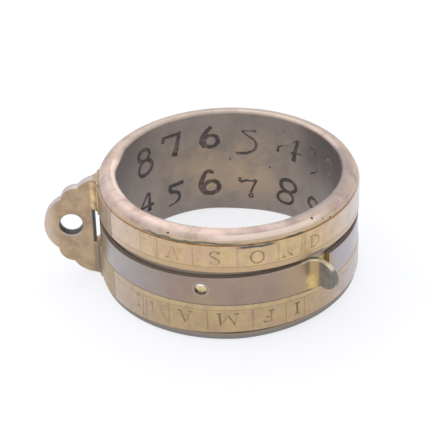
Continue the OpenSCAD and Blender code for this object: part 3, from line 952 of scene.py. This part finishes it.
def finishHoop():
    look = hoopBrass
    material, dial = startFinish("hoopBrass")
    mottle = dial.cloud(2.5, 5, 0.62)
    broad = dial.cloud(8, 3, 0.5, shift=7)
    fine = dial.cloud(0.5, 4, 0.65, shift=2)
    turned = dial.rings(0.16)
    drawn = dial.rings(0.9)
    # the rim, with marks of turning, and the lip under it
    rim = mottle.ease(0.4, 0.66).mix(look["rim"], look["rimBrown"])
    rim = (broad.ease(0.48, 0.66) * look["goldShare"]).mix(rim, look["rimGold"])
    rim = (turned.ease(0.45, 0.28) * look["turnedShare"]).mix(rim, look["rimBrown"])
    rim = (turned.ease(0.55, 0.75) * look["turnedShare"]).mix(rim, look["streak"])
    # painted shade on the rim at the right, towards its inner edge
    dark = dial.turn.within(*look["rimShadeTurn"]) * dial.out.ease(*look["rimShadeOut"])
    rim = (dark * look["rimShadeShare"]).mix(rim, look["rimShade"])
    # painted highlight along the rim's outer shoulder and inner edge
    shoulderHighlight = dial.turn.within(*look["shoulderTurn"]) * dial.out.ease(*look["shoulderOut"])
    shoulderHighlight = shoulderHighlight * dial.level.ease(*look["shoulderUp"])
    inner = sum(dial.turn.within(*turn) for turn in look["innerTurns"])
    inner = inner * dial.out.ease(boreR + 0.7, boreR + 0.3) * dial.level.ease(*look["innerUp"])
    rim = (shoulderHighlight.most(inner) * look["highlightShare"]).mix(rim, look["streak"])
    fromBack = abs(dial.backTurn)
    rim = (fromBack.ease(*look["farBack"]) * look["farShare"]).mix(rim, look["rimFar"])
    side = dial.out.ease(lipR - 0.4, lipR - 0.1) * dial.level.ease(*look["lipUp"])
    rim = (side * abs(dial.turn).ease(*look["lipFront"]) * look["lipShare"]).mix(rim, look["lip"])
    seam = dial.crust(crustLine) * side
    rim = seam.mix(rim, fine.ease(0.4, 0.6).mix(look["verdigris"], look["crust"]))
    for turn, level, size in look["nicks"]:
        rim = dial.spot(turn, level, size).mix(rim, look["ink"])
    # the bore: grey at the sides, warm at the back's middle, black in the numerals
    warm = fromBack.ease(*look["warmBack"]) * dial.level.within(*look["warmLevel"])
    bore = (mottle + broad).ease(0.8, 1.25).mix(look["bore"], look["boreDull"])
    bore = (warm * (broad + mottle * 0.5).ease(1.0, 0.55) * look["warmShare"]).mix(bore, look["boreWarm"])
    bore = (drawn.ease(0.5, 0.75) * look["dullShare"]).mix(bore, look["boreDull"])
    bore = (fromBack.ease(*look["greyBack"]) * look["greyShare"]).mix(bore, look["boreGrey"])
    patina = (dial.level + mottle * 3).ease(*look["patinaUp"])
    for end in look["patinaBack"]:
        patina = patina * dial.backTurn.ease(*end)
    bore = (patina * look["patinaShare"]).mix(bore, look["ink"])
    shade = fromBack.ease(*look["shadeBack"]) * dial.level.ease(*look["shadeUp"])
    bore = (shade * look["shadeShare"]).mix(bore, look["ink"])
    inBore = dial.out.ease(boreR + 0.75, boreR + 0.6) * dial.level.ease(*look["boreUp"])
    slot = abs(dial.level - lightZ).ease(*look["slotHalf"]) * dial.out.ease(boreR + 0.02, boreR + 0.06)
    slot = slot * dial.y.ease(1, -1)
    ink = dial.out.ease(boreR, boreR + 0.08) * inBore * (1 - slot)
    for end in look["inkUp"]:
        ink = ink * dial.level.ease(*end)
    allOver, inPatches, inGrains = look["inkShare"]
    held = mottle.ease(0.3, 0.55) * inPatches + fine.ease(0.3, 0.55) * inGrains + allOver
    bore = (ink * held).mix(bore, dial.backTurn.ease(*look["scratchBack"]).mix(look["ink"], look["scratch"]))
    # the seat behind the collar, and the base
    seat = dial.out.within(boreR + 0.8, stripIn + 0.1, 0.1) * dial.level.within(*look["seatLevel"])
    clean = dial.turn.within(*look["cleanTurn"]) * dial.level.ease(*look["cleanUp"])
    base = dial.level.ease(*look["baseUp"])
    foot = dial.level - (dial.x - baseTaper["from"]).most(0.0) * baseTaper["slope"]
    # painted shade low on the base
    low = foot.ease(*look["lowUp"]).mix(look["base"], look["baseUnderShade"])
    colour = base.mix(rim, foot.ease(*look["darkUp"]).mix(low, look["baseDark"]))
    colour = seat.mix(colour, clean.mix(look["seat"], look["seatClean"]))
    colour = inBore.mix(colour, bore)
    colour = (slot * dial.out.ease(stripIn, stripIn - 0.08)).mix(colour, look["slot"])
    roughness = mottle.span(look["roughness"]) + ink * look["dull"] + seam * look["dull"]
    metallic = look["metallic"] - inBore * 0.45 - ink * 0.4 - seam * 0.7 - seat * 0.5
    height = mottle * 0.5 + fine * 0.15 + turned * 0.2
    return endFinish(material, colour, roughness, metallic, height, look)


collarBrass = {
    "sheet": tone(155, 132, 113),
    "rose": tone(150, 124, 108),
    "olive": tone(164, 144, 106),
    "oliveShare": 0.6,
    # painted reflection: pale grey at the left and lilac at the right, as a slanting view reflects the white
    # surroundings
    "grey": tone(162, 164, 170),  # at the left
    "greyTurn": (-85, -52, 38),
    "yellow": tone(167, 140, 106),
    "yellowTurn": (34, 45, 20),
    "lilacSheen": tone(172, 174, 192),  # at the right
    "lilacFront": [(45, 54), (140, 80)],  # its two ends
    "endSheenShare": 0.5,
    "bend": (-2.2, 0.2, 1.2),  # from, to and fade in mm past the tab, to the right
    "amber": tone(178, 146, 92),
    "amberBend": (-1, 0, 0.6),
    "amberShare": 0.8,
    # painted highlight: a bright yellow spot low in the bend
    "bright": tone(222, 196, 108),
    "brightBend": (-1.6, -1, 0.8),
    "brightLevel": (7.2, 8.2, 1.4),
    "brightShare": 0.75,
    "leaf": tone(136, 128, 122),
    "leafGrey": tone(152, 150, 142),
    "tipEdge": tone(112, 110, 104),
    # painted highlight on the leaf's upper edge
    "leafTopHighlight": tone(208, 195, 162),
    "edgeW": (0.14, 0.08),  # from the leaf's edge, where its tone begins and is whole
    "cut": tone(150, 139, 129),  # the top edge of the sheet
    "under": tone(104, 92, 80),
    "underTurn": (-75, 30, 14),
    "underShare": 0.9,
    # painted shade in the pinhole's wall, and a painted highlight round its rim
    "holeShade": tone(96, 78, 52),
    "holeRimHighlight": tone(190, 178, 168),
    "rimShare": 0.3,
    "roughness": (0.3, 0.42),
    "leafDull": 0.15,
    "metallic": 0.95,
    "bump": 0.02,
    "coat": (0.7, 0.25, 1.7),  # weight, roughness and index of the wax
}


def finishCollar():
    look, form = collarBrass, slidingCollar
    material, dial = startFinish("collarBrass")
    tab = radians(form["tabTurn"])
    along = dial.x * sin(tab) - dial.y * cos(tab)  # out along the tab
    across = dial.x * cos(tab) + dial.y * sin(tab)  # past the tab, to the right
    mottle = dial.cloud(4, 4, 0.55)
    tint = dial.cloud(5, 3, 0.5, shift=3)
    rough = dial.cloud(0.9, 4, 0.65, shift=8)
    colour = mottle.ease(0.4, 0.65).mix(look["sheet"], look["rose"])
    colour = (tint.ease(0.48, 0.66) * look["oliveShare"]).mix(colour, look["olive"])
    # painted reflection at the collar's two ends
    colour = (dial.turn.within(*look["greyTurn"]) * look["endSheenShare"]).mix(colour, look["grey"])
    colour = dial.turn.within(*look["yellowTurn"]).mix(colour, look["yellow"])
    nearEnd, farEnd = look["lilacFront"]
    rightEndSheen = dial.turn.ease(*nearEnd) * dial.turn.ease(*farEnd)
    colour = (rightEndSheen * look["endSheenShare"]).mix(colour, look["lilacSheen"])
    collarR = collarIn + form["standOff"] + form["sheet"]
    lifted = dial.out.ease(collarR + 0.03, collarR + 0.3)  # what stands out past the round of the collar
    nearTab = across.within(*look["bend"]) * along.ease(collarR - 1.5, collarR - 0.8)
    # painted highlight in the bend
    glow = across.within(*look["brightBend"]) * nearTab * dial.level.within(*look["brightLevel"])
    colour = (across.within(*look["amberBend"]) * nearTab * look["amberShare"]).mix(colour, look["amber"])
    colour = (glow * rough.ease(0.3, 0.6) * look["brightShare"]).mix(colour, look["bright"])
    leaf = along.ease(collarR + 0.8, collarR + 1.15) * abs(across).ease(0.7, 0.55)
    tip = along.ease(tabTip - 0.95, tabTip - 0.5)
    colour = leaf.mix(colour, rough.ease(0.4, 0.6).mix(look["leaf"], look["leafGrey"]))
    # the cut edge along the top, which climbs as the sheet does, and the shadow under the sheet
    climb = dial.turn.ramp(*form["climb"])
    climb = climb.sums("POWER", climb, form["climbCurve"])
    topAt = climb.span((form["topLeft"], form["topTab"]))
    endAt = dial.turn.ramp(*form["endFade"]).span((form["topEnd"], form["topLeft"]))
    past = dial.turn.ease(form["tabTurn"] + 2, form["tabTurn"] + 3)
    topAt = topAt * (1 - past) + endAt * past + collarHigh
    cut = (dial.level - topAt).ease(-0.1, -0.05) * dial.out.ease(collarR + 0.1, collarR + 0.05)
    colour = cut.mix(colour, look["cut"])
    sheetLow = collarLow - form["drop"]
    under = dial.level.ease(sheetLow + 0.2, sheetLow + 0.08) * (1 - lifted) * dial.turn.within(*look["underTurn"])
    colour = (under * look["underShare"]).mix(colour, look["under"])
    # the leaf's edge: a painted highlight along its top and in the bend, dark round its tip
    tipR = (collarHigh - collarLow) / 2
    leafLow, leafHigh = sheetLow + form["leafLift"], collarHigh + form["topLeaf"]
    tipX = (along - (tabTip - tipR)).most(0.0)
    tipZ = (dial.level - (leafLow + leafHigh) / 2) * (2 * tipR / (leafHigh - leafLow))
    begins, whole = look["edgeW"]
    edge = tipX.reach(tipZ).ease(tipR - begins, tipR - whole)
    colour = (edge * tipZ.ease(0.2, 0.9) * (1 - tip) * lifted.most(nearTab)).mix(colour, look["leafTopHighlight"])
    colour = (edge * tip * leaf).mix(colour, look["tipEdge"])
    # the pinhole's wall in painted shade, and a painted highlight on the rim round it
    pin = radians(form["pinholeTurn"])
    holeR = form["pinholeD"] / 2
    fromPin = (dial.x * cos(pin) + dial.y * sin(pin)).reach(dial.level - (lightZ + form["pinholeLift"]))
    ahead = dial.y.ease(0, -5)
    wall = fromPin.ease(holeR + 0.12, holeR + 0.02) * ahead
    halo = fromPin.within(holeR + 0.12, holeR + 0.3, 0.08) * ahead
    colour = (halo * look["rimShare"]).mix(colour, look["holeRimHighlight"])
    colour = wall.mix(colour, look["holeShade"])
    roughness = mottle.span(look["roughness"]) + leaf * look["leafDull"]
    metallic = look["metallic"] - leaf * 0.3 - wall * 0.5 - cut * 0.4
    height = mottle * 0.4 + rough * leaf * 2
    return endFinish(material, colour, roughness, metallic, height, look)


lugBrass = {
    "face": tone(196, 170, 138),
    "brown": tone(172, 149, 124),
    "olive": tone(178, 158, 116),
    "oliveShare": 0.7,
    "rose": tone(216, 194, 176),  # past the eye
    # painted light on the lug's upper edges; also the tone of the wear under the eye
    "edge": tone(198, 186, 184),
    "edgeHalf": (0.66, 0.6),  # mm from the lug's middle
    "edgeUp": (6, 11),
    "wornShare": 0.5,  # under the eye
    # painted reflection: the root over the upper foot, bright golden
    "flareHighlight": tone(234, 204, 154),  # the bright root over the upper foot
    "flareLevel": (12, 16.3, 0.5),
    # painted shade on the lug's lower edges and lower root
    "dark": tone(146, 132, 120),
    "rootUp": (6.5, 5),
    "rootShare": 0.8,
    # painted shade on the walls of the window and the eye
    "wall": tone(74, 70, 70),
    "wallLevel": (5.9, 11.6, 0.1),  # of the window
    "foot": tone(154, 143, 131),
    "footUp": (8, 12),
    "footShare": 0.7,
    "footPale": tone(188, 167, 146),
    "footGold": tone(182, 158, 124),
    "roughness": (0.38, 0.52),
    "metallic": 0.9,
    "bump": 0.06,
    "coat": (0.0, 0.3, 1.5),  # weight, roughness and index of the wax
}


def finishLug():
    look = lugBrass
    material, dial = startFinish("lugBrass")
    mottle = dial.cloud(1.8, 5, 0.62, shift=1)
    broad = dial.cloud(5, 3, 0.5, shift=6)
    colour = mottle.ease(0.36, 0.66).mix(look["face"], look["brown"])
    colour = (broad.ease(0.5, 0.7) * look["oliveShare"]).mix(colour, look["olive"])
    colour = dial.x.ease(eyeX - 1.5, eyeX - 4).mix(colour, look["rose"])
    # the lug's edges: painted light at the top, painted shade below
    edge = abs(dial.y).ease(*look["edgeHalf"]) * dial.out.ease(stripR + 0.4, stripR + 0.8)
    colour = edge.mix(colour, dial.level.ease(*look["edgeUp"]).mix(look["dark"], look["edge"]))
    # painted reflection on the root over the upper foot
    flareHighlight = dial.out.within(stripR + 0.3, stripR + 0.9, 0.4) * dial.level.within(*look["flareLevel"])
    colour = (flareHighlight * (1 - edge) * mottle.ease(0.75, 0.4)).mix(colour, look["flareHighlight"])
    # painted shade on the lower root
    root = dial.out.within(stripR - 0.1, stripR + 0.9, 0.3) * dial.level.ease(*look["rootUp"])
    colour = (root * look["rootShare"]).mix(colour, look["dark"])
    overEye = dial.level - eyeZ
    fromEye = (dial.x - eyeX).reach(overEye)
    worn = fromEye.ease(eyeR + 0.7, eyeR + 0.2) * overEye.ease(-0.8, -1.8)
    colour = (worn * look["wornShare"]).mix(colour, look["edge"])
    # painted shade in the window and the eye
    window = dial.out.ease(stripR + 1.15, stripR + 0.85) * dial.level.within(*look["wallLevel"])
    wall = fromEye.ease(eyeR + 0.16, eyeR + 0.04).most(window)
    colour = wall.mix(colour, look["wall"])
    feet = dial.out.ease(stripR + 0.08, stripR - 0.02)
    drawn = dial.cloud(0.6, 3, 0.6, stretch=(1, 1, 0.4), shift=3)
    footTone = mottle.ease(0.35, 0.65).mix(look["footPale"], look["footGold"])
    drawn = drawn.ease(0.4, 0.7) * dial.level.ease(*look["footUp"])
    footTone = (drawn * look["footShare"]).mix(footTone, look["foot"])
    colour = feet.mix(colour, footTone)
    roughness = mottle.span(look["roughness"])
    metallic = look["metallic"] - wall * 0.5
    height = mottle * 0.5 + broad * 0.6
    return endFinish(material, colour, roughness, metallic, height, look)


def dress(piece, material):
    piece.data.materials.clear()
    piece.data.materials.append(material)


dress(hoop, finishHoop())
dress(upper, finishStrip("upperStripBrass", stripBrass, upperLow, upperHigh, upperBorder, upperLow))
dress(lower, finishStrip("lowerStripBrass", lowerBrass, lowerLow, lowerHigh, lowerBorder, lowerHigh))
dress(collar, finishCollar())
dress(lug, finishLug())
print("finishes made")


# Floor, light and camera

photoView = {
    "place": (0, -247.8, 163.6),  # mm
    "pitch": 0.5564,  # radians below the horizon
    "yaw": -0.00795,
    "roll": -0.02868,
    "focal": 1892,  # in the photo's pixels
    "framePixels": 432,
    "sensor": 36,
    "nearest": 0.005,  # metres
}


def placeCamera(view):
    data = bpy.data.cameras.new("photoCamera")
    data.sensor_width = view["sensor"]
    data.lens = view["focal"] / view["framePixels"] * view["sensor"]
    data.clip_start = view["nearest"]
    camera = bpy.data.objects.new("photoCamera", data)
    bpy.context.scene.collection.objects.link(camera)
    turn = Matrix.Rotation(-view["yaw"], 4, "Z") @ Matrix.Rotation(pi / 2 - view["pitch"], 4, "X")
    camera.matrix_world = (Matrix.Translation(Vector(view["place"]) * mm) @ turn
                           @ Matrix.Rotation(view["roll"], 4, "Z"))
    bpy.context.scene.camera = camera


studio = {
    "floorHalf": 1.5,  # metres
    "floorTone": tone(238, 238, 250),
    "floorGlow": tone(253, 254, 255),
    "glow": 0.7,  # share of the floor's look that shadows can't reach
    "glowPower": 1.08,
    "sky": tone(250, 251, 255),
    "skyLight": 0.9,  # on the object
    "boxPlace": (-0.12, 0.16, 0.5),
    "boxSize": 0.6,
    "boxPower": 1.0,
}


def cameraSees(tree):  # 1 for what the camera sees straight, mirrored or through glass
    path = Wire(tree, tree.nodes.new("ShaderNodeLightPath").outputs["Is Camera Ray"])
    return path.most(path.beside("Is Glossy Ray")).most(path.beside("Is Transmission Ray"))


def layFloor(look):
    shape = bmesh.new()
    bmesh.ops.create_grid(shape, x_segments=1, y_segments=1, size=look["floorHalf"])
    floor = makeObject("floor", shape)
    paper = bpy.data.materials.new("paper")
    paper.use_nodes = True
    tree = paper.node_tree
    tree.nodes.clear()
    seen = cameraSees(tree)
    matt = seen.make("ShaderNodeBsdfDiffuse", None, {"Color": look["floorTone"]})
    glow = seen.make("ShaderNodeEmission", None, {"Color": look["floorGlow"], "Strength": look["glowPower"]})
    mixed = seen.make("ShaderNodeMixShader", None, {0: seen * look["glow"], 1: matt, 2: glow})
    end = tree.nodes.new("ShaderNodeOutputMaterial")
    tree.links.new(mixed.socket, end.inputs["Surface"])
    floor.data.materials.append(paper)


def lightStudio(look):
    world = bpy.data.worlds.new("studio")
    bpy.context.scene.world = world
    world.use_nodes = True
    tree = world.node_tree
    back = tree.nodes["Background"]
    back.inputs["Color"].default_value = look["sky"]
    strength = cameraSees(tree).span((look["skyLight"], 1))
    tree.links.new(strength.socket, back.inputs["Strength"])
    lamp = bpy.data.lights.new("softbox", "AREA")
    lamp.size = look["boxSize"]
    lamp.energy = look["boxPower"]
    box = bpy.data.objects.new("softbox", lamp)
    place = Vector(look["boxPlace"])
    box.matrix_world = Matrix.Translation(place) @ place.to_track_quat("Z", "Y").to_matrix().to_4x4()
    bpy.context.scene.collection.objects.link(box)


layFloor(studio)
lightStudio(studio)
placeCamera(photoView)
bpy.context.scene.view_settings.view_transform = "Standard"
